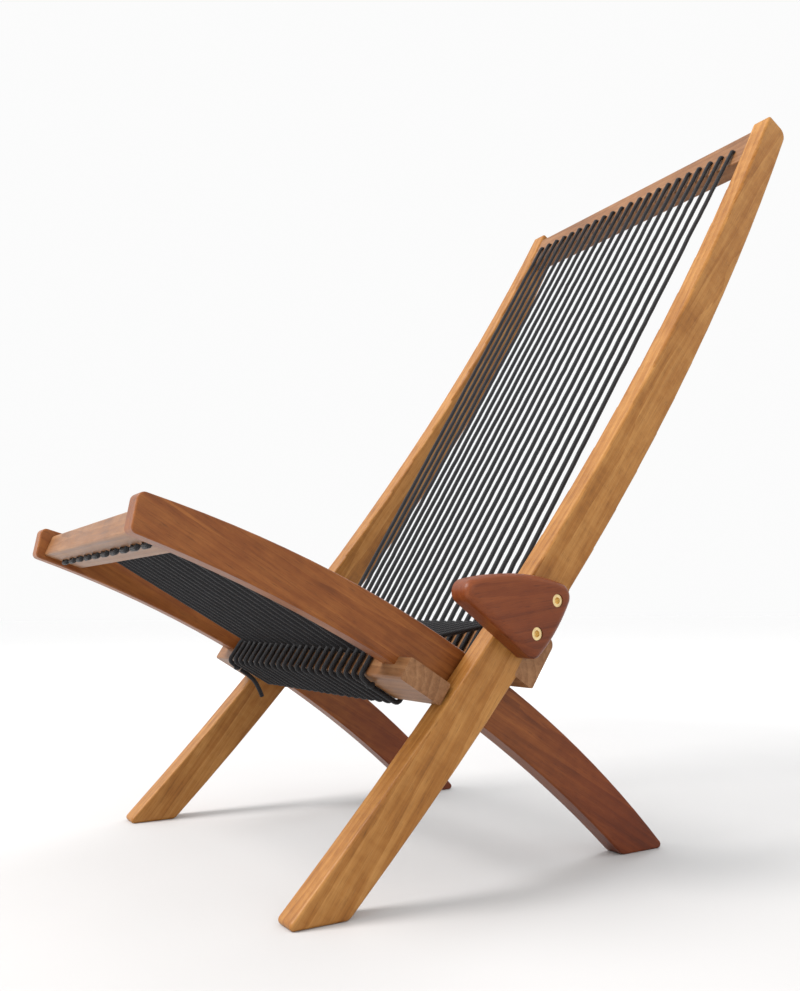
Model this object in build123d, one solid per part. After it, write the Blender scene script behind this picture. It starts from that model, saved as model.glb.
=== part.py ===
from build123d import *
import math
import os

# Folding lounge chair of solid wood strung with one braided cord. Millimetres.
# X runs from the sitter's right to the left, the sitter faces -Y and Z is up.
# Side outlines are drawn as (Y, Z) pairs, with Y counted from the front edge of
# the front feet; the finished pieces are then moved to the middle of the footprint.

# Back frame: two long side rails that are also the front legs
frame_width = 500.0            # outside face to outside face of the long rails
back_rail_thickness = 28.0
back_height = 880.0            # front corner of the rails' top end above the floor
back_rake = 644.0              # how far that corner lies behind the front of the feet
back_front_bow = 35.6          # how far the middle of the front edge bows rearward
back_rear_bow = 42.0
back_foot_depth = 57.0
back_top_depth = 35.0
back_top_rear_radius = 13.0
back_edge_radius = 3.0

# Seat frame: two shorter side rails that are also the rear legs
seat_rail_thickness = 25.0
rail_side_gap = 3.5            # each side, between a seat rail and a long rail
seat_front_height = 346.0
seat_run = 563.0               # from the seat's front corner to the back of the rear feet
base_length = 444.0            # from the front of the front feet to the back of the rear feet
seat_top_bow = 46.5
seat_bottom_bow = 31.0
seat_foot_depth = 60.0
seat_front_depth = 34.0
seat_front_slant = 5.0         # the front end leans forward by this much towards its bottom
seat_front_radius = 6.0
seat_edge_radius = 2.2

foot_toe_radius = 4.0          # the acute corner of each foot
foot_heel_radius = 9.0         # the blunt corner

# Crossbars: width is the long side of the section
top_bar_width = 54.0
top_bar_thickness = 22.0
top_bar_drop = 12.0            # below the rails' top end
top_bar_recess = 1.5           # behind the rails' front edge
rear_bar_width = 52.0
rear_bar_thickness = 25.0
rear_bar_notch = 4.0           # let into the rear edge of the long rails
rear_bar_round = 8.0
stop_bar_width = 49.0
stop_bar_thickness = 22.0
stop_bar_notch = 8.0           # let into the underside of the seat rails
stop_bar_end_inset = 9.0       # its ends, inside the long rails' outer faces
front_bar_width = 44.0
front_bar_thickness = 24.0
front_bar_setback = 8.0        # behind the seat rails' front end
front_bar_lift = 5.0           # above the seat rails' bottom edge
bar_edge_radius = 2.5

# Clearances
pivot_gap = 0.5                # seat rails' top edge to the rear crossbar
stop_gap = 0.4                 # stop crossbar to the front legs
hole_clearance = 0.1           # round a dowel, a screw or an insert

# Side blocks and their bolts
block_thickness = 27.0
block_edge_radius = 8.0
block_rise = 54.0              # block centre above the pivot, along Z
block_tip_place = (-104.0, 28.0)  # its three corners, from the block's centre
block_back_place = (36.0, 27.0)
block_low_place = (-12.0, -41.0)
block_tip_radius = 12.0
block_back_radius = 14.0
block_low_radius = 9.0
block_top_bow = -13.0
block_rear_bow = -5.0
bolt_spacing = 39.4
bolt_head_radius = 6.0
bolt_head_height = 6.0
bolt_head_sink = 1.2
counterbore_gap = 0.3          # round a bolt's head
bolt_shank_radius = 3.0
bolt_grip = 17.0               # length of shank inside the rail
socket_width = 6.0
socket_depth = 4.0
insert_radius = 5.0
insert_length = 20.0

# Dowels and screws
dowel_radius = 5.0
dowel_length = 34.0
dowel_pitch = 24.0
stop_dowel_radius = 4.0
stop_dowel_depth = 12.0        # into the stop crossbar
stop_dowel_rise = 24.0         # into the seat rail
stop_dowel_pitch = 26.0
screw_radius = 2.5
screw_head_radius = 4.5
screw_head_height = 3.5
screw_pitch = 24.0
rear_screw_length = 35.0

# Cord
cord_radius = 2.6
cord_clearance = 0.4           # to the wood it lies on, and all round in its holes
turn_gap = 1.2                 # between a cord's two neighbouring turns on a crossbar
cord_count = 22                # cords in the back
top_cord_half_span = 203.0     # outermost cord at the top crossbar
low_cord_half_span = 176.0     # outermost cord at the rear and stop crossbars
front_cord_half_span = 174.0   # outermost cord at the front crossbar
top_hole_drop = 29.0           # below the top of the top crossbar
front_hole_setback = 20.0      # behind the front face of the front crossbar
lead_in = 8.0                  # straight cord before a bend
run_gap = 0.4                  # between a straight run and the bend that goes on from it
knot_growth = 2.0              # a knot's radius beyond the cord's
knot_setback = 14.0            # behind the stop crossbar's lower front edge
tail_dip = 33.0                # the loose tail leaves its knot this far below level
tail_runs = [(15.0, 33.0, 1.5), (16.0, 50.0, -1.0), (15.0, 64.0, -2.0)]

half_width = frame_width / 2
back_rail_inner = half_width - back_rail_thickness
seat_rail_outer = back_rail_inner - rail_side_gap
seat_rail_inner = seat_rail_outer - seat_rail_thickness
cord_lift = cord_radius + cord_clearance  # cord centre above the wood that it lies on
cord_hole_radius = cord_radius + cord_clearance
cord_bend_radius = cord_radius + cord_clearance
coil_offset = cord_radius + turn_gap / 2  # sideways, half the step between two turns
knot_radius = cord_radius + knot_growth


def bowed_edge(start, end, bow):
    """A circular arc whose middle stands off the straight line by bow."""
    chord = end - start
    normal = Vector(chord.Y, -chord.X).normalized()
    return ThreePointArc(start, (start + end) / 2 + normal * bow, end)


def filled(outline, corners):
    """The face inside an outline, with each listed corner rounded."""
    face = make_face(outline)
    for point, radius in corners:
        vertex = face.vertices().sort_by(lambda v: (Vector(v) - point).length)[0]
        face = fillet(vertex, radius)
    return face


def slab(face, x0, x1):
    """The solid that a side outline makes between two X positions."""
    return extrude(Plane.YZ.offset(x0) * face, x1 - x0)


def softened(solid, radius):
    """The same solid with the outlines of its two side faces rounded."""
    return fillet(solid.faces().filter_by(Axis.X).edges(), radius)


def box_section(corner, along, across, width, thickness, round_radius):
    """A rectangular bar section; the corner opposite to the first one is rounder."""
    points = [
        corner,
        corner + along * width,
        corner + along * width + across * thickness,
        corner + across * thickness,
    ]
    radii = [bar_edge_radius, bar_edge_radius, round_radius, bar_edge_radius]
    return filled(Polyline(*points, close=True), list(zip(points, radii)))


def at_x(point, x):
    """A side outline's point in space."""
    return Vector(x, point.X, point.Y)


def rod(start, end, radius):
    """A round bar from one point to another."""
    run = end - start
    return Solid.make_cylinder(radius, run.length, Plane(origin=start, z_dir=run))


def tube(points):
    """A cord bent round its corners."""
    path = FilletPolyline(*points, radius=cord_bend_radius)
    return sweep(Plane(path @ 0, z_dir=path % 0) * Circle(cord_radius), path=path)


def straight_cord(ends):
    """A cord's straight run, stopping just short of the bends at its two ends."""
    start, end = ends
    return rod(toward(start, end, run_gap), toward(end, start, run_gap), cord_radius)


def toward(start, end, distance):
    """The point this far from start on the way to end."""
    return start + (end - start).normalized() * distance


def spread(half_span, count):
    """Evenly spaced positions from -half_span to half_span."""
    return [half_span * (2 * i / (count - 1) - 1) for i in range(count)]


def front_of(arc, point):
    """How far a point lies in front of an edge that bows rearward."""
    return arc.radius - (point - arc.arc_center).length


def bisect(function, low, high):
    """Where a function that rises from low to high passes zero."""
    for _ in range(40):
        middle = (low + high) / 2
        if function(middle) < 0:
            low = middle
        else:
            high = middle
    return (low + high) / 2


# Side outline of a long rail
back_foot_front = Vector(0, 0)
back_foot_rear = Vector(back_foot_depth, 0)
back_top_front = Vector(back_rake, back_height)
back_front_edge = bowed_edge(back_foot_front, back_top_front, back_front_bow)
top_up = back_front_edge % 1
top_rear = Vector(top_up.Y, -top_up.X)
back_top_rear = back_top_front + top_rear * back_top_depth
back_rear_edge = bowed_edge(back_foot_rear, back_top_rear, back_rear_bow)
back_face = filled(
    [
        back_front_edge,
        Line(back_top_front, back_top_rear),
        back_rear_edge,
        Line(back_foot_rear, back_foot_front),
    ],
    [
        (back_top_rear, back_top_rear_radius),
        (back_top_front, bar_edge_radius),
        (back_foot_front, foot_toe_radius),
        (back_foot_rear, foot_heel_radius),
    ],
)

# Side outline of a seat rail
seat_foot_rear = Vector(base_length, 0)
seat_foot_front = Vector(base_length - seat_foot_depth, 0)
seat_top_front = Vector(base_length - seat_run, seat_front_height)
seat_low_front = seat_top_front - Vector(seat_front_slant, seat_front_depth)
seat_top_edge = bowed_edge(seat_foot_rear, seat_top_front, seat_top_bow)
seat_bottom_edge = bowed_edge(seat_foot_front, seat_low_front, seat_bottom_bow)
seat_face = filled(
    [
        seat_top_edge,
        Line(seat_top_front, seat_low_front),
        seat_bottom_edge,
        Line(seat_foot_front, seat_foot_rear),
    ],
    [
        (seat_top_front, seat_front_radius),
        (seat_low_front, seat_front_radius),
        (seat_foot_front, foot_heel_radius),
        (seat_foot_rear, foot_toe_radius),
    ],
)

# The pivot is the rear crossbar's lower front edge, just above the seat rails' top edge
pivot_share = bisect(
    lambda share: front_of(back_rear_edge, seat_top_edge @ share) - rear_bar_notch, 0, 1
)
seat_forward = seat_top_edge % pivot_share
seat_rearward = seat_forward * -1
seat_up = Vector(seat_forward.Y, -seat_forward.X)
pivot = seat_top_edge @ pivot_share + seat_up * pivot_gap

rear_bar_face = box_section(
    pivot, seat_up, seat_rearward, rear_bar_width, rear_bar_thickness, rear_bar_round
)


def stop_corner(share):
    """Lower rear corner of the stop crossbar, for a place along the seat rails' underside."""
    forward = seat_bottom_edge % share
    down = Vector(-forward.Y, forward.X)
    return seat_bottom_edge @ share + down * (stop_bar_thickness - stop_bar_notch)


stop_share = bisect(lambda share: front_of(back_front_edge, stop_corner(share)) - stop_gap, 0, 1)
stop_forward = seat_bottom_edge % stop_share
stop_down = Vector(-stop_forward.Y, stop_forward.X)
stop_top_rear = stop_corner(stop_share) - stop_down * stop_bar_thickness
stop_bar_face = box_section(
    stop_top_rear, stop_forward, stop_down, stop_bar_width, stop_bar_thickness, bar_edge_radius
)

# Front crossbar, parallel to the seat rails' underside at the front
front_rearward = (seat_bottom_edge % 1) * -1
front_up = Vector(-front_rearward.Y, front_rearward.X)
front_low = seat_low_front + front_rearward * front_bar_setback + front_up * front_bar_lift
front_bar_face = box_section(
    front_low, front_rearward, front_up, front_bar_width, front_bar_thickness, bar_edge_radius
)

# Top crossbar, behind the front edges of the long rails
top_bar_head = back_top_front - top_up * top_bar_drop + top_rear * top_bar_recess
top_bar_face = box_section(
    top_bar_head, top_up * -1, top_rear, top_bar_width, top_bar_thickness, bar_edge_radius
)

# Side block: a pick-shaped pad with its tip forward
def rail_middle(share):
    """A point midway between the two edges of a long rail."""
    return (back_front_edge @ share + back_rear_edge @ share) / 2


block_share = bisect(lambda share: rail_middle(share).Y - pivot.Y - block_rise, 0, 1)
block_up = back_front_edge % block_share
block_centre = rail_middle(block_share)
block_tip = block_centre + Vector(block_tip_place)
block_back = block_centre + Vector(block_back_place)
block_low = block_centre + Vector(block_low_place)
block_face = filled(
    [
        bowed_edge(block_tip, block_back, block_top_bow),
        bowed_edge(block_back, block_low, block_rear_bow),
        Line(block_low, block_tip),
    ],
    [
        (block_tip, block_tip_radius),
        (block_back, block_back_radius),
        (block_low, block_low_radius),
    ],
)
bolt_points = [block_centre + block_up * (bolt_spacing * side) for side in (0.5, -0.5)]

# Bars and rails as solids
top_bar = slab(top_bar_face, -back_rail_inner, back_rail_inner)
rear_bar = slab(rear_bar_face, -half_width, half_width)
stop_bar_half = half_width - stop_bar_end_inset
stop_bar = slab(stop_bar_face, -stop_bar_half, stop_bar_half)
front_bar = slab(front_bar_face, -seat_rail_inner, seat_rail_inner)


def dowels(centre, along, wood_face):
    """Two dowels through each end joint of a crossbar, half in the bar, half in the rail."""
    found = []
    for side in (-1, 1):
        for step in (-0.5, 0.5):
            place = centre + along * (dowel_pitch * step)
            inner = at_x(place, side * (wood_face - dowel_length / 2))
            outer = at_x(place, side * (wood_face + dowel_length / 2))
            found.append((inner, outer))
    return found


def dowel_solids(ends, growth):
    return [rod(start, end, dowel_radius + growth) for start, end in ends]


def screws(head, direction, x_places, length, growth):
    """Countersunk screws in pairs along X, driven from the outside of a bar."""
    solids = []
    for x in x_places:
        start = at_x(head, x)
        point = start + direction * length
        neck = start + direction * screw_head_height
        cone = Solid.make_cone(
            screw_head_radius + growth,
            screw_radius + growth,
            screw_head_height,
            Plane(origin=start, z_dir=direction),
        )
        solids.append(cone + rod(neck, point, screw_radius + growth))
    return solids


top_bar_middle = top_bar_head - top_up * (top_bar_width / 2) + top_rear * (top_bar_thickness / 2)
front_bar_middle = (
    front_low + front_rearward * (front_bar_width / 2) + front_up * (front_bar_thickness / 2)
)
top_dowel_ends = dowels(top_bar_middle, top_up, back_rail_inner)
front_dowel_ends = dowels(front_bar_middle, front_rearward, seat_rail_inner)

rail_middle_x = half_width - back_rail_thickness / 2
rear_screw_heads = [
    pivot + seat_rearward * rear_bar_thickness + seat_up * (rear_bar_width / 2 + offset)
    for offset in (-screw_pitch / 2, screw_pitch / 2)
]
seat_middle_x = (seat_rail_outer + seat_rail_inner) / 2
stop_dowel_places = [
    stop_top_rear + stop_forward * (stop_bar_width / 2 + offset)
    for offset in (-stop_dowel_pitch / 2, stop_dowel_pitch / 2)
]


def rear_screw_solids(growth):
    into = at_x(seat_forward, 0)
    solids = []
    for head in rear_screw_heads:
        solids += screws(head, into, (-rail_middle_x, rail_middle_x), rear_screw_length, growth)
    return solids


def stop_dowel_solids(growth):
    """Hidden dowels that stand in the stop crossbar's top face and enter the seat rails."""
    solids = []
    for place in stop_dowel_places:
        for x in (-seat_middle_x, seat_middle_x):
            low = at_x(place + stop_down * (stop_dowel_depth + growth), x)
            high = at_x(place - stop_down * (stop_dowel_rise + growth), x)
            solids.append(rod(low, high, stop_dowel_radius + growth))
    return solids


def bolt(point, side):
    """A socket-head bolt, its head sunk in the block and its shank in the rail."""
    face_x = half_width + block_thickness - bolt_head_sink
    outward = Vector(side, 0, 0)
    head_top = at_x(point, side * face_x)
    head_low = head_top - outward * bolt_head_height
    tip = at_x(point, side * (half_width - bolt_grip))
    head = rod(head_low, head_top, bolt_head_radius)
    shank = rod(tip, head_low, bolt_shank_radius)
    hexagon = RegularPolygon(socket_width / 2, 6, major_radius=False)
    socket = extrude(Plane(origin=head_top, z_dir=outward * -1) * hexagon, socket_depth)
    return head + shank - socket


def bolt_hole(point, side):
    """The counterbore and clearance hole for one bolt in a block."""
    outer = at_x(point, side * (half_width + block_thickness + 1))
    floor = at_x(point, side * (half_width + block_thickness - bolt_head_sink - bolt_head_height))
    inner = at_x(point, side * (half_width - 1))
    return rod(floor, outer, bolt_head_radius + counterbore_gap) + rod(
        inner, outer, bolt_shank_radius + hole_clearance
    )


def insert_blank(point, side, growth):
    start = at_x(point, side * (half_width - insert_length))
    end = at_x(point, side * half_width)
    return rod(start, end, insert_radius + growth)


def threaded_insert(point, side):
    start = at_x(point, side * (half_width - insert_length - 1))
    end = at_x(point, side * (half_width + 1))
    return insert_blank(point, side, 0) - rod(start, end, bolt_shank_radius + hole_clearance)


# Cord places along X
top_xs = spread(top_cord_half_span, cord_count)
low_xs = spread(low_cord_half_span, cord_count)
front_xs = spread(front_cord_half_span, cord_count - 2)
band_shift = low_cord_half_span / (cord_count - 1)

top_hole = top_bar_head - top_up * top_hole_drop
front_hole = front_low + front_rearward * front_hole_setback


def cord_holes(mouth, into, thickness, places):
    """The row of cord holes through a crossbar."""
    holes = []
    for x in places:
        start = at_x(mouth - into, x)
        holes.append(rod(start, at_x(mouth + into * (thickness + 1), x), cord_hole_radius))
    return holes


# Where each cord touches the crossbars, in the side view
back_elbow = top_hole - top_rear * cord_lift
back_low = pivot + seat_up * (rear_bar_width - lead_in) - seat_rearward * cord_lift
top_behind = top_hole + top_rear * (top_bar_thickness + cord_lift)
rear_low_front = pivot - seat_up * cord_lift - seat_rearward * cord_lift
rear_low_rear = rear_low_front + seat_rearward * (rear_bar_thickness + 2 * cord_lift)
rear_high_rear = rear_low_rear + seat_up * (rear_bar_width + 2 * cord_lift)
rear_high_front = rear_low_front + seat_up * (rear_bar_width + 2 * cord_lift)
stop_high_rear = stop_top_rear - stop_down * cord_lift - stop_forward * cord_lift
stop_high_front = stop_high_rear + stop_forward * (stop_bar_width + 2 * cord_lift)
stop_low_front = stop_high_front + stop_down * (stop_bar_thickness + 2 * cord_lift)
stop_low_rear = stop_high_rear + stop_down * (stop_bar_thickness + 2 * cord_lift)
stop_leave = stop_high_front - stop_forward * lead_in
front_high = front_hole + front_up * (front_bar_thickness + cord_lift)
front_corner = front_low + front_rearward * front_bar_width
front_corner = front_corner + front_up * (front_bar_thickness + cord_lift)
front_under = front_hole - front_up * cord_lift
knot_place = stop_low_front - stop_forward * knot_setback
knot_place = knot_place + stop_down * (knot_radius - cord_radius)


def back_run(i):
    """The two ends of a back cord's straight run."""
    low = at_x(back_low, low_xs[i])
    elbow = at_x(back_elbow, top_xs[i])
    return low, toward(elbow, low, lead_in)


def seat_run_ends(i):
    """The two ends of a seat cord's straight run."""
    start = at_x(stop_leave, low_xs[i] + coil_offset)
    corner = at_x(front_corner, front_xs[i - 1])
    return start, toward(corner, start, lead_in)


def band_ends(i):
    """The two ends of a cord's run from the rear crossbar to the stop crossbar."""
    start = at_x(rear_high_front, low_xs[i] + band_shift)
    end = at_x(stop_high_front, low_xs[i] - coil_offset)
    return toward(start, end, lead_in), toward(end, start, lead_in)


def top_stitch(i):
    """The cord's way through two neighbouring holes of the top crossbar."""
    first = [back_run(i)[1], at_x(back_elbow, top_xs[i]), at_x(top_behind, top_xs[i])]
    second = [at_x(top_behind, top_xs[i + 1]), at_x(back_elbow, top_xs[i + 1])]
    return tube(first + second + [back_run(i + 1)[1]])


def rear_wrap(i):
    """One turn round the rear crossbar: down its front, under, up its rear and over."""
    x = low_xs[i]
    shifted = x + band_shift
    return tube([
        at_x(back_low, x),
        at_x(rear_low_front, x),
        at_x(rear_low_rear, x),
        at_x(rear_high_rear, shifted),
        at_x(rear_high_front, shifted),
        band_ends(i)[0],
    ])


def stop_wrap(i):
    """One turn round the stop crossbar, leaving it along its top face."""
    x = low_xs[i] - coil_offset
    shifted = low_xs[i] + coil_offset
    if i in outermost:
        return end_wrap(x)
    return tube([
        band_ends(i)[1],
        at_x(stop_high_front, x),
        at_x(stop_low_front, x),
        at_x(stop_low_rear, shifted),
        at_x(stop_high_rear, shifted),
        at_x(stop_leave, shifted),
    ])


def end_wrap(x):
    """The cord's first and last turn, which stops in a knot under the stop crossbar."""
    start = at_x(stop_high_front, x)
    band = at_x(rear_high_front, x + coil_offset + band_shift)
    knot = at_x(knot_place, x)
    return tube([
        toward(start, band, lead_in),
        start,
        at_x(stop_low_front, x),
        toward(knot, at_x(stop_low_front, x), knot_radius),
    ])


def tail_path(start):
    """Corner points of the loose end: run lengths, dips below level and steps along X."""
    points = [start]
    for length, dip, sideways in tail_runs:
        step = Vector(length, 0).rotate(Axis.Z, -dip)
        points.append(points[-1] + at_x(step, sideways))
    return points


def tail_radii(points):
    """Bend radii as large as the runs beside each corner allow."""
    radii = []
    for before, corner, after in zip(points, points[1:], points[2:]):
        shorter = min((corner - before).length, (after - corner).length)
        half_turn = math.radians((corner - before).get_angle(after - corner) / 2)
        radii.append(0.45 * shorter / math.tan(half_turn))
    return radii


def front_stitch(i):
    """The cord's way through two neighbouring holes of the front crossbar."""
    x = front_xs[i - 1]
    beside = front_xs[i]
    return tube([
        seat_run_ends(i)[1],
        at_x(front_corner, x),
        at_x(front_high, x),
        at_x(front_under, x),
        at_x(front_under, beside),
        at_x(front_high, beside),
        at_x(front_corner, beside),
        seat_run_ends(i + 1)[1],
    ])


every_cord = range(cord_count)
outermost = (0, cord_count - 1)
seat_cord_numbers = range(1, cord_count - 1)
pieces = {}

# Long rails, with seats for the rear crossbar, dowels, screws and inserts
rear_screw_holes = rear_screw_solids(hole_clearance)
top_dowel_holes = dowel_solids(top_dowel_ends, hole_clearance)
for name, side in (("left", 1), ("right", -1)):
    inner, outer = sorted((side * back_rail_inner, side * half_width))
    rail = softened(slab(back_face, inner, outer), back_edge_radius)
    blanks = [insert_blank(point, side, hole_clearance) for point in bolt_points]
    pieces[f"back_rail_{name}"] = rail - rear_bar - rear_screw_holes - top_dowel_holes - blanks

top_holes = cord_holes(top_hole, top_rear, top_bar_thickness, top_xs)
pieces["top_crossbar"] = top_bar - top_holes - top_dowel_holes
pieces["rear_crossbar"] = rear_bar - rear_screw_holes
pieces["top_crossbar_dowels"] = dowel_solids(top_dowel_ends, 0)
pieces["rear_crossbar_screws"] = rear_screw_solids(0)

# Side blocks and what holds them
for name, side in (("left", 1), ("right", -1)):
    inner, outer = sorted((side * half_width, side * (half_width + block_thickness)))
    block = slab(block_face, inner, outer)
    outside = block.faces().filter_by(Axis.X).sort_by(lambda f: abs(f.center().X))[-1]
    block = fillet(outside.edges(), block_edge_radius)
    pieces[f"side_block_{name}"] = block - [bolt_hole(point, side) for point in bolt_points]

sides = [(point, side) for side in (-1, 1) for point in bolt_points]
pieces["side_block_bolts"] = [bolt(point, side) for point, side in sides]
pieces["side_block_inserts"] = [threaded_insert(point, side) for point, side in sides]

# Seat rails, with seats for the stop crossbar and dowels
stop_dowel_holes = stop_dowel_solids(hole_clearance)
front_dowel_holes = dowel_solids(front_dowel_ends, hole_clearance)
for name, side in (("left", 1), ("right", -1)):
    inner, outer = sorted((side * seat_rail_inner, side * seat_rail_outer))
    rail = softened(slab(seat_face, inner, outer), seat_edge_radius)
    pieces[f"seat_rail_{name}"] = rail - stop_bar - stop_dowel_holes - front_dowel_holes

front_holes = cord_holes(front_hole, front_up, front_bar_thickness, front_xs)
pieces["front_crossbar"] = front_bar - front_holes - front_dowel_holes
pieces["stop_crossbar"] = stop_bar - stop_dowel_holes
pieces["front_crossbar_dowels"] = dowel_solids(front_dowel_ends, 0)
pieces["stop_crossbar_dowels"] = stop_dowel_solids(0)

# The cord, run by run
pieces["back_cords"] = [straight_cord(back_run(i)) for i in every_cord]
pieces["top_cord_stitches"] = [top_stitch(i) for i in range(0, cord_count, 2)]
pieces["rear_cord_wraps"] = [rear_wrap(i) for i in every_cord]
pieces["hinge_cords"] = [straight_cord(band_ends(i)) for i in every_cord]
pieces["stop_cord_wraps"] = [stop_wrap(i) for i in every_cord]
pieces["seat_cords"] = [straight_cord(seat_run_ends(i)) for i in seat_cord_numbers]
pieces["front_cord_stitches"] = [front_stitch(i) for i in range(1, cord_count - 2, 2)]

# The cord's two ends: a knot under each end of the stop crossbar, and one loose tail
knots = [at_x(knot_place, low_xs[i] - coil_offset) for i in outermost]
pieces["cord_end_knots"] = [Pos(knot) * Sphere(knot_radius) for knot in knots]
tail_leave = Vector(knot_radius + run_gap, 0).rotate(Axis.Z, -tail_dip)
tail_points = tail_path(knots[0] + at_x(tail_leave, 0))
tail_line = FilletPolyline(*tail_points, radius=tail_radii(tail_points))
tail_profile = Plane(tail_line @ 0, z_dir=tail_line % 0) * Circle(cord_radius)
pieces["cord_tail"] = sweep(tail_profile, path=tail_line)

# Move everything to the middle of the footprint and write one file for each piece
front_end = pieces["seat_rail_left"].bounding_box().min.Y
rear_end = pieces["back_rail_left"].bounding_box().max.Y
to_origin = Location((0, -(front_end + rear_end) / 2, 0))

os.makedirs("parts", exist_ok=True)
for name, shape in pieces.items():
    group = Compound(children=shape) if isinstance(shape, list) else shape
    export_step(to_origin * group, f"parts/{name}.step")

print("pivot", to_origin.position.Y + pivot.X, pivot.Y)
print("loose tail", round(tail_line.length, 1), [round(r, 1) for r in tail_radii(tail_points)])
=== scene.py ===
import math

import bpy
import numpy as np
from mathutils import Matrix, Vector


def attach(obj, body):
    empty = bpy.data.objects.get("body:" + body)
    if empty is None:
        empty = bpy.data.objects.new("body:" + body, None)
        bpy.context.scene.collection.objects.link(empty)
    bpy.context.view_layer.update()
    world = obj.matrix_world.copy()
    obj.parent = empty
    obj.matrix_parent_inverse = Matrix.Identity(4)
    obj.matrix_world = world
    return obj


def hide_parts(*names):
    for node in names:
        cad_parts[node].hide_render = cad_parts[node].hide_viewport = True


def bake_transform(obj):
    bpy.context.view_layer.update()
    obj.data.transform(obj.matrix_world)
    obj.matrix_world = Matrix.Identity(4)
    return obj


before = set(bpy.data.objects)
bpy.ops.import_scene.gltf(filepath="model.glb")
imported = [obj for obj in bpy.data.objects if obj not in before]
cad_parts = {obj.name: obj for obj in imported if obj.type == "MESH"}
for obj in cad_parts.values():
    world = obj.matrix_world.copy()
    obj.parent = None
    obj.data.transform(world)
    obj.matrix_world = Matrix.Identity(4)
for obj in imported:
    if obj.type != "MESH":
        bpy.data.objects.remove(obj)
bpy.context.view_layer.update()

# Metres. X runs from the sitter's right to the left, the sitter faces -Y, Z is up.
# Side-view places are (Y, Z) pairs, as in the CAD model.

# ---------------------------------------------------------------- camera
FOCAL_IN_IMAGE_WIDTHS = 1.194
CAMERA_PLACE = Vector((0.9906, -0.5917, 0.2499))
CAMERA_TURN = 0.979            # from looking along +Y, towards -X
CAMERA_TILT = 0.153            # upwards
CAMERA_ROLL = -0.004


def add_camera():
    data = bpy.data.cameras.new("camera")
    data.sensor_fit = "HORIZONTAL"
    data.sensor_width = 36.0
    data.lens = FOCAL_IN_IMAGE_WIDTHS * data.sensor_width
    data.shift_x = -0.092
    data.shift_y = -0.041
    data.clip_start = 0.01
    camera = bpy.data.objects.new("camera", data)
    turn = Matrix.Rotation(CAMERA_TURN, 4, "Z")
    tilt = Matrix.Rotation(math.pi / 2 + CAMERA_TILT, 4, "X")
    roll = Matrix.Rotation(CAMERA_ROLL, 4, "Z")
    camera.matrix_world = Matrix.Translation(CAMERA_PLACE) @ turn @ tilt @ roll
    bpy.context.scene.collection.objects.link(camera)
    bpy.context.scene.camera = camera


add_camera()

# ---------------------------------------------------------------- cord routes
CORD_RADIUS = 0.0026
CORD_LIFT = 0.0030             # cord centre above the wood that it lies on
CORD_COUNT = 22
TURN_RADIUS = 0.0052           # round a crossbar's eased edge
HOLE_TURN_RADIUS = 0.0036      # over the mouth of a hole
ROUND_EDGE_TURN = 0.011        # round the rear crossbar's rounder edge
LOW_BEND = 0.05                # where a back cord leaves the rear crossbar
STOP_BEND = 0.04               # where a seat cord leaves the stop crossbar
FRONT_BEND = 0.03              # where it comes to the front crossbar
LEAD_IN = 0.008                # a back cord's run on the rear crossbar, below its bend
WAVER = 0.00012                # how unevenly the cord lies
KNOT_LOOP = 0.0030             # an end knot's loops
KNOT_CORD_RADIUS = 0.0021      # the cord, pulled thin in a knot
TOP_HALF_SPAN = 0.203
LOW_HALF_SPAN = 0.176
FRONT_HALF_SPAN = 0.174
COIL_OFFSET = 0.0032
BAND_SHIFT = LOW_HALF_SPAN / (CORD_COUNT - 1)
KNOT_SETBACK = 0.014


class Section:
    """A crossbar's rectangular section in the side view, from one of its corners."""

    def __init__(self, corner, angle, width, thickness, turn):
        self.corner = Vector(corner)
        angle = math.radians(angle)
        self.along = Vector((math.cos(angle), math.sin(angle)))
        across = math.radians(turn) + angle
        self.across = Vector((math.cos(across), math.sin(across)))
        self.width = width
        self.thickness = thickness

    def at(self, along, across):
        return self.corner + self.along * along + self.across * across


TOP_BAR = Section((0.3660, 0.8688), -118.73, 0.054, 0.022, 90)
REAR_BAR = Section((-0.0489, 0.1890), 56.29, 0.052, 0.025, -90)
STOP_BAR = Section((-0.1134, 0.1832), 147.99, 0.049, 0.022, 90)
FRONT_BAR = Section((-0.3883, 0.3140), -19.68, 0.044, 0.024, 90)
TOP_HOLE_DROP = 0.029
FRONT_HOLE_SETBACK = 0.020

back_elbow = TOP_BAR.at(TOP_HOLE_DROP, -CORD_LIFT)
back_behind = TOP_BAR.at(TOP_HOLE_DROP, TOP_BAR.thickness + CORD_LIFT)
rear_front_high = REAR_BAR.at(REAR_BAR.width - LEAD_IN, -CORD_LIFT)
rear_front_low = REAR_BAR.at(-CORD_LIFT, -CORD_LIFT)
rear_rear_low = REAR_BAR.at(-CORD_LIFT, REAR_BAR.thickness + CORD_LIFT)
rear_rear_high = REAR_BAR.at(REAR_BAR.width + CORD_LIFT, REAR_BAR.thickness + CORD_LIFT)
band_leave = REAR_BAR.at(REAR_BAR.width + CORD_LIFT, -CORD_LIFT)
stop_rear_high = STOP_BAR.at(-CORD_LIFT, -CORD_LIFT)
stop_front_high = STOP_BAR.at(STOP_BAR.width + CORD_LIFT, -CORD_LIFT)
stop_front_low = STOP_BAR.at(STOP_BAR.width + CORD_LIFT, STOP_BAR.thickness + CORD_LIFT)
stop_rear_low = STOP_BAR.at(-CORD_LIFT, STOP_BAR.thickness + CORD_LIFT)
front_rear_high = FRONT_BAR.at(FRONT_BAR.width, FRONT_BAR.thickness + CORD_LIFT)
front_hole_high = FRONT_BAR.at(FRONT_HOLE_SETBACK, FRONT_BAR.thickness + CORD_LIFT)
front_hole_low = FRONT_BAR.at(FRONT_HOLE_SETBACK, -CORD_LIFT)
KNOT_RADIUS = 0.0046
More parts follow.
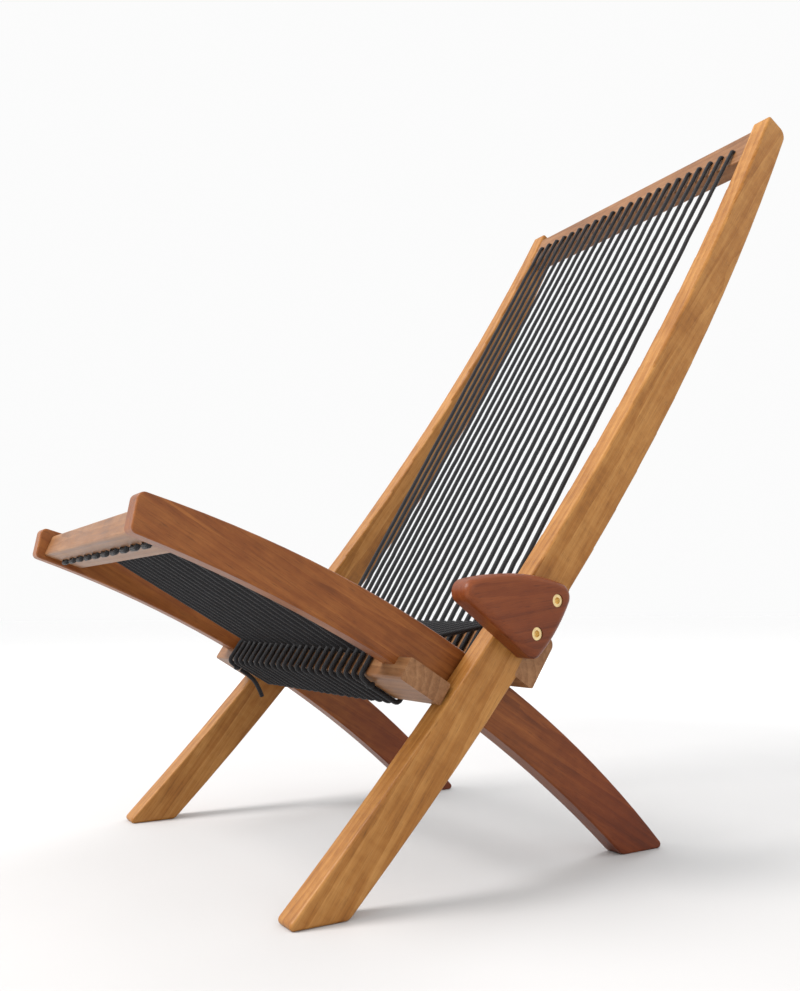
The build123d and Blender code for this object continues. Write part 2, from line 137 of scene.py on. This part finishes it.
knot_place = STOP_BAR.at(
    STOP_BAR.width + CORD_LIFT - KNOT_SETBACK, STOP_BAR.thickness + CORD_LIFT + KNOT_RADIUS - CORD_RADIUS
)


def spread(half_span, count):
    return [half_span * (2 * i / (count - 1) - 1) for i in range(count)]


top_xs = spread(TOP_HALF_SPAN, CORD_COUNT)
low_xs = spread(LOW_HALF_SPAN, CORD_COUNT)
front_xs = spread(FRONT_HALF_SPAN, CORD_COUNT - 2)


def at_x(point, x):
    return Vector((x, point[0], point[1]))


def rounded(corners, radii, step=0.35):
    """The corners' polyline with each inner corner turned on an arc of about its radius."""
    path = [corners[0]]
    for before, corner, after, radius in zip(corners, corners[1:], corners[2:], radii):
        into = (corner - before).normalized()
        out = (after - corner).normalized()
        turn = into.angle(out)
        if turn < 0.02:
            path.append(corner)
            continue
        shorter = min((corner - before).length, (after - corner).length)
        cut = min(radius * math.tan(turn / 2), shorter * 0.48)
        start, end = corner - into * cut, corner + out * cut
        steps = max(2, round(turn / step))
        for k in range(steps + 1):
            t = k / steps
            path.append(start.lerp(corner, t).lerp(corner.lerp(end, t), t))
    path.append(corners[-1])
    return path


def filled_in(path, spacing=0.012):
    """The same path with its long runs divided, so that the cord can waver a little."""
    points = [path[0]]
    for start, end in zip(path, path[1:]):
        count = max(1, round((end - start).length / spacing))
        points += [start.lerp(end, k / count) for k in range(1, count + 1)]
    return points


# ---------------------------------------------------------------- cord meshes
SIDES = 12


def add_tube(build, path, radius, seed, waver=0.0):
    """Adds a closed tube with a UV map in turns round the cord, measured along it and round it."""
    random = np.random.default_rng(seed)
    points = [Vector(p) for p in path]
    if waver:
        for k in range(2, len(points) - 2):
            points[k] = points[k] + Vector(random.normal(0, waver, 3))
    tangents = []
    for k in range(len(points)):
        ahead = points[min(k + 1, len(points) - 1)]
        behind = points[max(k - 1, 0)]
        tangents.append((ahead - behind).normalized())
    side = tangents[0].orthogonal().normalized()
    rings, travelled, along = [], 0.0, []
    for k, (point, tangent) in enumerate(zip(points, tangents)):
        side = (side - tangent * side.dot(tangent)).normalized()
        other = tangent.cross(side)
        if k:
            travelled += (point - points[k - 1]).length
        along.append(travelled)
        ring = []
        for j in range(SIDES):
            angle = 2 * math.pi * j / SIDES
            build["verts"].append(point + (side * math.cos(angle) + other * math.sin(angle)) * radius)
            ring.append(len(build["verts"]) - 1)
        rings.append(ring)
    around = 2 * math.pi * radius
    for k in range(len(rings) - 1):
        for j in range(SIDES):
            n = (j + 1) % SIDES
            build["faces"].append((rings[k][j], rings[k][n], rings[k + 1][n], rings[k + 1][j]))
            u0, u1 = along[k] / around, along[k + 1] / around
            v0, v1 = j / SIDES, (j + 1) / SIDES
            build["uvs"] += [(u0, v0), (u0, v1), (u1, v1), (u1, v0)]
    for ring, k, flip in ((rings[0], 0, True), (rings[-1], -1, False)):
        order = list(reversed(ring)) if flip else ring
        build["faces"].append(tuple(order))
        build["uvs"] += [(along[k] / around, 0.5)] * SIDES


def mesh_piece(name, build, material):
    mesh = bpy.data.meshes.new(name)
    mesh.from_pydata([tuple(v) for v in build["verts"]], [], build["faces"])
    layer = mesh.uv_layers.new(name="along_and_round")
    layer.data.foreach_set("uv", [c for uv in build["uvs"] for c in uv])
    mesh.polygons.foreach_set("use_smooth", [True] * len(mesh.polygons))
    mesh.materials.append(material)
    piece = bpy.data.objects.new(name, mesh)
    bpy.context.scene.collection.objects.link(piece)
    return piece


def new_build():
    return {"verts": [], "faces": [], "uvs": []}


# ---------------------------------------------------------------- materials
class Nodes:
    """Short ways to add and join shader nodes in one material."""

    def __init__(self, name):
        self.material = bpy.data.materials.new(name)
        self.material.use_nodes = True
        self.tree = self.material.node_tree
        self.shader = self.tree.nodes["Principled BSDF"]

    def add(self, kind, **settings):
        node = self.tree.nodes.new(kind)
        for key, value in settings.items():
            setattr(node, key, value)
        return node

    def link(self, output, target):
        self.tree.links.new(output, target)

    def plug(self, value, socket):
        if isinstance(value, bpy.types.NodeSocket):
            self.link(value, socket)
        else:
            socket.default_value = value

    def maths(self, operation, first, second=0.0, clamp=False):
        node = self.add("ShaderNodeMath", operation=operation, use_clamp=clamp)
        self.plug(first, node.inputs[0])
        self.plug(second, node.inputs[1])
        return node.outputs[0]

    def noise(self, vector, scale, detail=3.0, roughness=0.55, distortion=0.0):
        node = self.add("ShaderNodeTexNoise")
        self.link(vector, node.inputs["Vector"])
        node.inputs["Scale"].default_value = scale
        node.inputs["Detail"].default_value = detail
        node.inputs["Roughness"].default_value = roughness
        node.inputs["Distortion"].default_value = distortion
        return node.outputs["Fac"]

    def ramp(self, value, stops):
        node = self.add("ShaderNodeValToRGB")
        self.link(value, node.inputs["Fac"])
        elements = node.color_ramp.elements
        while len(elements) < len(stops):
            elements.new(0.5)
        for element, (place, colour) in zip(elements, stops):
            element.position = place
            element.color = (*colour, 1.0)
        return node.outputs["Color"]

    def mix(self, factor, first, second, blend="MIX"):
        node = self.add("ShaderNodeMix", data_type="RGBA", blend_type=blend)
        self.plug(factor, node.inputs["Factor"])
        self.plug(first, node.inputs["A"])
        self.plug(second, node.inputs["B"])
        return node.outputs["Result"]

    def stretched(self, vector, scale, turn=(0, 0, 0), place=(0, 0, 0)):
        node = self.add("ShaderNodeMapping")
        self.link(vector, node.inputs["Vector"])
        node.inputs["Rotation"].default_value = turn
        node.inputs["Scale"].default_value = scale
        node.inputs["Location"].default_value = place
        return node.outputs["Vector"]

    def bump(self, height, strength, distance, under=None):
        node = self.add("ShaderNodeBump")
        self.link(height, node.inputs["Height"])
        node.inputs["Strength"].default_value = strength
        node.inputs["Distance"].default_value = distance
        if under is not None:
            self.link(under, node.inputs["Normal"])
        return node.outputs["Normal"]


def grey(value):
    return (value, value, value)


def wood(name, dark, middle, light, grain_angle=0.0, grain_along_x=False, seed=0.0, roughness=0.42,
         ripple=0.04, painted_shade=None):
    """Oiled tropical hardwood: faint growth rings, ribbon figure, open pores and blotchy oil, with
    painted shade along Y where asked.
    """
    m = Nodes(name)
    place = m.add("ShaderNodeTexCoord").outputs["Object"]
    if grain_along_x:
        along_y = m.stretched(place, (1, 1, 1), turn=(0, 0, math.pi / 2), place=(seed, seed, 0))
    else:
        along_y = m.stretched(place, (1, 1, 1), turn=(-math.radians(grain_angle), 0, 0),
                              place=(seed, seed, seed * 0.3))
    slow = m.stretched(along_y, (1, 0.10, 1))
    fibres = m.stretched(along_y, (1, 0.018, 1))
    pores = m.stretched(along_y, (1, 0.05, 1))

    wander = m.noise(slow, 14.0, 2.0)
    ring_place = m.add("ShaderNodeVectorMath", operation="SCALE")
    m.link(wander, ring_place.inputs[0])
    ring_place.inputs["Scale"].default_value = 0.035
    bent = m.add("ShaderNodeVectorMath", operation="ADD")
    m.link(slow, bent.inputs[0])
    m.link(ring_place.outputs[0], bent.inputs[1])
    rings = m.add("ShaderNodeTexWave", wave_type="RINGS", rings_direction="Y", wave_profile="SAW")
    m.link(m.stretched(bent.outputs[0], (1, 1, 1), place=(0.09, 0, 0.05)), rings.inputs["Vector"])
    rings.inputs["Scale"].default_value = 34.0
    rings.inputs["Distortion"].default_value = 2.2
    rings.inputs["Detail"].default_value = 3.0
    rings.inputs["Detail Scale"].default_value = 1.6

    fibre = m.noise(fibres, 900.0, 4.0, 0.7)
    streak = m.noise(fibres, 190.0, 3.0, 0.6)
    pore = m.noise(pores, 1500.0, 2.0, 0.5)
    blotch = m.noise(along_y, 9.0, 4.0, 0.6, 0.4)
    ribbon = m.noise(m.stretched(along_y, (1, 0.55, 1)), 42.0, 2.0, 0.5, 0.6)
    mottle = m.noise(m.stretched(along_y, (1, 0.30, 1)), 95.0, 3.0, 0.6, 0.3)
    wave = m.noise(m.stretched(along_y, (0.25, 1, 0.25)), 150.0, 2.0, 0.5, 0.8)

    tone = m.maths("MULTIPLY", rings.outputs["Fac"], 0.10)
    for figure, share in ((streak, 0.34), (ribbon, 0.16), (blotch, 0.34), (mottle, 0.20), (wave, ripple)):
        tone = m.maths("ADD", tone, m.maths("MULTIPLY", figure, share))
    colour = m.ramp(tone, [(0.38, dark), (0.56, middle), (0.76, light)])
    # Painted shade: the colour is multiplied darker along Y, towards the rear leg.
    if painted_shade:
        start, end, shade_colour = painted_shade
        parts = m.add("ShaderNodeSeparateXYZ")
        m.link(place, parts.inputs[0])
        span = m.add("ShaderNodeMapRange", interpolation_type="SMOOTHSTEP")
        m.link(parts.outputs["Y"], span.inputs["Value"])
        span.inputs["From Min"].default_value = start
        span.inputs["From Max"].default_value = end
        colour = m.mix(span.outputs["Result"], colour, m.mix(1.0, colour, (*shade_colour, 1.0), "MULTIPLY"))
    fine = m.ramp(fibre, [(0.30, grey(0.78)), (0.62, grey(1.06))])
    colour = m.mix(0.75, colour, fine, "MULTIPLY")
    pits = m.ramp(pore, [(0.30, grey(0.45)), (0.40, grey(1.0))])
    colour = m.mix(0.55, colour, pits, "MULTIPLY")
    m.link(colour, m.shader.inputs["Base Color"])

    shine = m.maths("MULTIPLY", blotch, 0.22)
    shine = m.maths("ADD", shine, m.maths("MULTIPLY", streak, 0.16))
    m.link(m.maths("ADD", shine, roughness - 0.19), m.shader.inputs["Roughness"])
    m.shader.inputs["Specular IOR Level"].default_value = 0.26
    m.shader.inputs["Coat Weight"].default_value = 0.05
    m.shader.inputs["Coat Roughness"].default_value = 0.30
    relief = m.bump(fibre, 0.22, 0.0006)
    relief = m.bump(pits, 0.25, 0.0004, relief)
    relief = m.bump(ribbon, 0.05, 0.002, relief)
    m.link(relief, m.shader.inputs["Normal"])
    return m.material


def braided_cord():
    """Charcoal polyester cord: two sets of strands that cross, with a soft sheen and a painted bluish
    highlight on the strand crests.
    """
    m = Nodes("braided_cord")
    uv = m.add("ShaderNodeUVMap", uv_map="along_and_round").outputs["UV"]
    parts = m.add("ShaderNodeSeparateXYZ")
    m.link(uv, parts.inputs[0])
    along = m.maths("MULTIPLY", parts.outputs["X"], 5.0)
    around = m.maths("MULTIPLY", parts.outputs["Y"], 8.0)
    first = m.maths("ADD", along, around)
    second = m.maths("SUBTRACT", along, around)

    def ridge(value):
        wave = m.maths("SINE", m.maths("MULTIPLY", value, 2 * math.pi))
        return m.maths("ADD", m.maths("MULTIPLY", wave, 0.5), 0.5)

    half_turns = m.maths("MULTIPLY", m.maths("MULTIPLY", along, 2.0), math.pi)
    over = m.maths("GREATER_THAN", m.maths("SINE", half_turns), 0.0)
    one, two = ridge(first), ridge(second)
    strands = m.add("ShaderNodeMix", data_type="FLOAT")
    m.link(over, strands.inputs["Factor"])
    m.link(one, strands.inputs["A"])
    m.link(two, strands.inputs["B"])
    height = m.maths("MAXIMUM", strands.outputs["Result"], m.maths("MULTIPLY", one, two))
    yarn = m.noise(m.stretched(uv, (30, 90, 1)), 1.0, 2.0)
    patch = m.noise(m.add("ShaderNodeTexCoord").outputs["Object"], 26.0, 2.0)
    # Painted highlight and painted shade: lighter, bluer colour on the strands' crests and darker colour
    # in the grooves between them, with random yarn and patch tone.
    crest_light_and_tone = m.maths("ADD", m.maths("MULTIPLY", height, 0.60), m.maths("MULTIPLY", yarn, 0.25))
    crest_light_and_tone = m.maths("ADD", crest_light_and_tone, m.maths("MULTIPLY", patch, 0.15))
    colour = m.ramp(crest_light_and_tone, [(0.15, (0.002, 0.002, 0.0025)), (0.55, (0.008, 0.008, 0.0095)),
                            (0.95, (0.034, 0.036, 0.044))])
    m.link(colour, m.shader.inputs["Base Color"])
    m.link(m.maths("ADD", m.maths("MULTIPLY", yarn, 0.25), 0.42), m.shader.inputs["Roughness"])
    m.shader.inputs["Specular IOR Level"].default_value = 0.30
    m.shader.inputs["Sheen Weight"].default_value = 0.06
    m.shader.inputs["Sheen Roughness"].default_value = 0.45
    relief = m.bump(height, 0.7, 0.0006)
    m.link(m.bump(yarn, 0.25, 0.0002, relief), m.shader.inputs["Normal"])
    return m.material


def metal(name, base, worn, roughness):
    """Plated metal with fine turning marks and duller, worn patches."""
    m = Nodes(name)
    place = m.add("ShaderNodeTexCoord").outputs["Object"]
    patch = m.noise(place, 260.0, 4.0)
    scratch = m.noise(m.stretched(place, (0.2, 1, 1)), 3200.0, 2.0)
    m.link(m.ramp(patch, [(0.38, base), (0.70, worn)]), m.shader.inputs["Base Color"])
    m.shader.inputs["Metallic"].default_value = 1.0
    shine = m.maths("ADD", m.maths("MULTIPLY", patch, 0.25), m.maths("MULTIPLY", scratch, 0.12))
    m.link(m.maths("ADD", shine, roughness - 0.18), m.shader.inputs["Roughness"])
    m.link(m.bump(scratch, 0.15, 0.0001), m.shader.inputs["Normal"])
    return m.material


cord_material = braided_cord()
BACK_RAIL_ANGLE = 53.8         # the long rails' run above level
SEAT_RAIL_ANGLE = 148.35
LONG_RAIL = ((0.150, 0.050, 0.008), (0.320, 0.126, 0.022), (0.470, 0.225, 0.060))
SEAT_RAIL = ((0.100, 0.026, 0.004), (0.205, 0.058, 0.010), (0.320, 0.112, 0.024))
BLOCK = ((0.090, 0.018, 0.004), (0.165, 0.036, 0.008), (0.225, 0.056, 0.013))
CROSSBAR = ((0.100, 0.040, 0.014), (0.220, 0.096, 0.036), (0.340, 0.172, 0.076))
# Painted shade on the seat rails, darker towards the rear leg.
REAR_LEG_PAINTED_SHADE = (-0.10, 0.12, (0.66, 0.42, 0.34))  # from Y, to Y, and the colour laid over
finishes = {
    "back_rail_left": wood("rail_wood_left", *LONG_RAIL, BACK_RAIL_ANGLE, seed=1.3, ripple=0.10),
    "back_rail_right": wood("rail_wood_right", *LONG_RAIL, BACK_RAIL_ANGLE, seed=4.1, ripple=0.08),
    "seat_rail_left": wood("seat_rail_wood_left", *SEAT_RAIL, SEAT_RAIL_ANGLE, seed=2.2,
                           painted_shade=REAR_LEG_PAINTED_SHADE),
    "seat_rail_right": wood("seat_rail_wood_right", *SEAT_RAIL, SEAT_RAIL_ANGLE, seed=6.7,
                            painted_shade=REAR_LEG_PAINTED_SHADE),
    "side_block_left": wood("block_wood_left", *BLOCK, 8.0, seed=3.4, roughness=0.38),
    "side_block_right": wood("block_wood_right", *BLOCK, 8.0, seed=5.9, roughness=0.38),
    "top_crossbar": wood("top_bar_wood", *CROSSBAR, grain_along_x=True, seed=0.7),
    "rear_crossbar": wood("rear_bar_wood", *CROSSBAR, grain_along_x=True, seed=2.9),
    "stop_crossbar": wood("stop_bar_wood", *CROSSBAR, grain_along_x=True, seed=5.1),
    "front_crossbar": wood("front_bar_wood", *CROSSBAR, grain_along_x=True, seed=7.3),
}
dowel_finish = wood("dowel_wood", (0.30, 0.17, 0.08), (0.48, 0.31, 0.17), (0.62, 0.44, 0.27),
                    grain_along_x=True, seed=1.1, roughness=0.6)
brass_finish = metal("brass_plate", (0.85, 0.66, 0.34), (0.66, 0.49, 0.25), 0.34)
steel_finish = metal("zinc_plate", (0.55, 0.53, 0.48), (0.40, 0.37, 0.32), 0.42)
finishes["top_crossbar_dowels"] = dowel_finish
finishes["front_crossbar_dowels"] = dowel_finish
finishes["side_block_bolts"] = brass_finish
finishes["side_block_inserts"] = brass_finish
finishes["rear_crossbar_screws"] = steel_finish
finishes["stop_crossbar_dowels"] = dowel_finish


def finish_node(node, material):
    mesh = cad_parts[node].data
    mesh.materials.clear()
    mesh.materials.append(material)


for node, material in finishes.items():
    finish_node(node, material)

# ---------------------------------------------------------------- cords on the back frame
def rear_turn(i):
    """From the band, back round the rear crossbar, to the foot of back cord i."""
    x = low_xs[i]
    shifted = x + BAND_SHIFT
    return [
        at_x(band_leave, shifted).lerp(at_x(stop_front_high, low_xs[i] - COIL_OFFSET), 0.065),
        at_x(band_leave, shifted),
        at_x(rear_rear_high, shifted),
        at_x(rear_rear_low, x),
        at_x(rear_front_low, x),
        at_x(rear_front_high, x),
    ]


back_cord = new_build()
for i in range(0, CORD_COUNT, 2):
    j = i + 1
    stitch = [
        at_x(back_elbow, top_xs[i]),
        at_x(back_behind, top_xs[i]),
        at_x(back_behind, top_xs[j]),
        at_x(back_elbow, top_xs[j]),
    ]
    corners = rear_turn(i) + stitch + list(reversed(rear_turn(j)))
    turns = [TURN_RADIUS, ROUND_EDGE_TURN, TURN_RADIUS, TURN_RADIUS, LOW_BEND]
    radii = turns + [HOLE_TURN_RADIUS] * 4 + list(reversed(turns))
    add_tube(back_cord, filled_in(rounded(corners, radii)), CORD_RADIUS, i, WAVER)
back_piece = mesh_piece("back_cord", back_cord, cord_material)
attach(back_piece, "back_frame")
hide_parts("back_cords", "top_cord_stitches", "rear_cord_wraps")

# ---------------------------------------------------------------- cords over the fold
fold_cord = new_build()
for i in range(CORD_COUNT):
    start = at_x(band_leave, low_xs[i] + BAND_SHIFT)
    end = at_x(stop_front_high, low_xs[i] - COIL_OFFSET)
    path = filled_in([start.lerp(end, 0.06), start.lerp(end, 0.94)], 0.006)
    add_tube(fold_cord, path, CORD_RADIUS, 100 + i)
fold_piece = mesh_piece("fold_cord", fold_cord, cord_material)
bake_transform(fold_piece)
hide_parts("hinge_cords")

# ---------------------------------------------------------------- cords on the seat frame


def stop_turn(i):
    """From the band, once round the stop crossbar and out along its top face."""
    x = low_xs[i] - COIL_OFFSET
    shifted = low_xs[i] + COIL_OFFSET
    start = at_x(stop_front_high, x)
    return [
        start.lerp(at_x(band_leave, low_xs[i] + BAND_SHIFT), 0.065),
        start,
        at_x(stop_front_low, x),
        at_x(stop_rear_low, shifted),
        at_x(stop_rear_high, shifted),
        at_x(stop_front_high, shifted),
    ]


seat_cord = new_build()
for i in range(1, CORD_COUNT - 2, 2):
    j = i + 1
    x, beside = front_xs[i - 1], front_xs[j - 1]
    stitch = [
        at_x(front_rear_high, x),
        at_x(front_hole_high, x),
        at_x(front_hole_low, x),
        at_x(front_hole_low, beside),
        at_x(front_hole_high, beside),
        at_x(front_rear_high, beside),
    ]
    corners = stop_turn(i) + stitch + list(reversed(stop_turn(j)))
    turns = [TURN_RADIUS] * 4 + [STOP_BEND, FRONT_BEND]
    radii = turns + [HOLE_TURN_RADIUS] * 4 + list(reversed(turns))
    add_tube(seat_cord, filled_in(rounded(corners, radii)), CORD_RADIUS, 200 + i, WAVER)
for i in (0, CORD_COUNT - 1):
    x = low_xs[i] - COIL_OFFSET
    corners = stop_turn(i)[:3] + [at_x(knot_place, x)]
    add_tube(seat_cord, filled_in(rounded(corners, [TURN_RADIUS] * 2)), CORD_RADIUS, 300 + i)
seat_piece = mesh_piece("seat_cord", seat_cord, cord_material)
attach(seat_piece, "seat_frame")
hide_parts("stop_cord_wraps", "seat_cords", "front_cord_stitches")

# ---------------------------------------------------------------- the cord's two ends
# The loose end's route, as in the CAD model
TAIL_ROUTE = [
    (-0.1792, -0.1558, 0.1777),
    (-0.1777, -0.1432, 0.1696),
    (-0.1787, -0.1329, 0.1573),
    (-0.1807, -0.1263, 0.1438),
]


def overhand_knot(centre, size):
    """A small pulled-tight knot: a cord's trefoil, flattened against the crossbar."""
    path = []
    for k in range(61):
        t = 2 * math.pi * k / 60
        path.append(centre + Vector((
            size * (math.sin(t) + 2 * math.sin(2 * t)) / 3.4,
            size * (math.cos(t) - 2 * math.cos(2 * t)) / 3.4,
            -size * math.sin(3 * t) / 3.0,
        )))
    return path


knots = new_build()
for i in (0, CORD_COUNT - 1):
    centre = at_x(knot_place, low_xs[i] - COIL_OFFSET)
    add_tube(knots, overhand_knot(centre, KNOT_LOOP), KNOT_CORD_RADIUS, 400 + i)
knot_piece = mesh_piece("cord_knots", knots, cord_material)
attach(knot_piece, "seat_frame")
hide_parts("cord_end_knots")

tail_curve = bpy.data.curves.new("tail_route", "CURVE")
tail_curve.dimensions = "3D"
spline = tail_curve.splines.new("NURBS")
spline.points.add(len(TAIL_ROUTE) - 1)
for point, place in zip(spline.points, TAIL_ROUTE):
    point.co = (*place, 1.0)
spline.order_u = 3
spline.use_endpoint_u = True
spline.resolution_u = 12
route_object = bpy.data.objects.new("tail_route", tail_curve)
route_mesh = bpy.data.meshes.new_from_object(route_object)
tail_path = [v.co.copy() for v in route_mesh.vertices]
bpy.data.objects.remove(route_object)
tail = new_build()
add_tube(tail, tail_path, CORD_RADIUS, 500)
tail_piece = mesh_piece("loose_cord_end", tail, cord_material)
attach(tail_piece, "seat_frame")
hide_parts("cord_tail")

# ---------------------------------------------------------------- floor, light and background


def add_floor():
    mesh = bpy.data.meshes.new("floor")
    size = 30.0
    mesh.from_pydata([(-size, -size, 0), (size, -size, 0), (size, size, 0), (-size, size, 0)], [],
                     [(0, 1, 2, 3)])
    m = Nodes("pale_floor")
    place = m.add("ShaderNodeTexCoord").outputs["Object"]
    near = m.ramp(m.noise(place, 1.5, 3.0), [(0.3, grey(0.56)), (0.7, grey(0.59))])
    distance = m.add("ShaderNodeVectorMath", operation="LENGTH")
    m.link(place, distance.inputs[0])
    span = m.add("ShaderNodeMapRange", interpolation_type="SMOOTHSTEP")
    m.link(distance.outputs["Value"], span.inputs["Value"])
    span.inputs["From Min"].default_value = 0.8
    span.inputs["From Max"].default_value = 3.2
    m.link(m.mix(span.outputs["Result"], near, (1.0, 1.0, 1.0, 1.0)), m.shader.inputs["Base Color"])
    m.shader.inputs["Roughness"].default_value = 0.9
    mesh.materials.append(m.material)
    floor = bpy.data.objects.new("floor", mesh)
    bpy.context.scene.collection.objects.link(floor)


def add_light(name, place, target, size, power, colour):
    data = bpy.data.lights.new(name, "AREA")
    data.shape = "DISK"
    data.size = size
    data.energy = power
    data.color = colour
    light = bpy.data.objects.new(name, data)
    aim = (Vector(target) - Vector(place)).to_track_quat("-Z", "Y")
    light.matrix_world = Matrix.Translation(place) @ aim.to_matrix().to_4x4()
    bpy.context.scene.collection.objects.link(light)


add_floor()
middle = (0, 0, 0.40)
add_light("front_key", (-0.7, -2.5, 2.6), middle, 1.6, 125, (1.0, 0.96, 0.94))
add_light("side_fill", (3.2, -0.2, 1.6), middle, 2.4, 14, (1.0, 0.98, 0.95))
add_light("rear_rim", (-1.4, 2.6, 2.4), middle, 1.8, 36, (0.95, 0.97, 1.0))
world = bpy.data.worlds.new("soft_studio")
world.use_nodes = True
world.node_tree.nodes["Background"].inputs["Color"].default_value = (1.0, 1.0, 1.0, 1.0)
world.node_tree.nodes["Background"].inputs["Strength"].default_value = 0.97
bpy.context.scene.world = world
bpy.context.scene.view_settings.view_transform = "Standard"
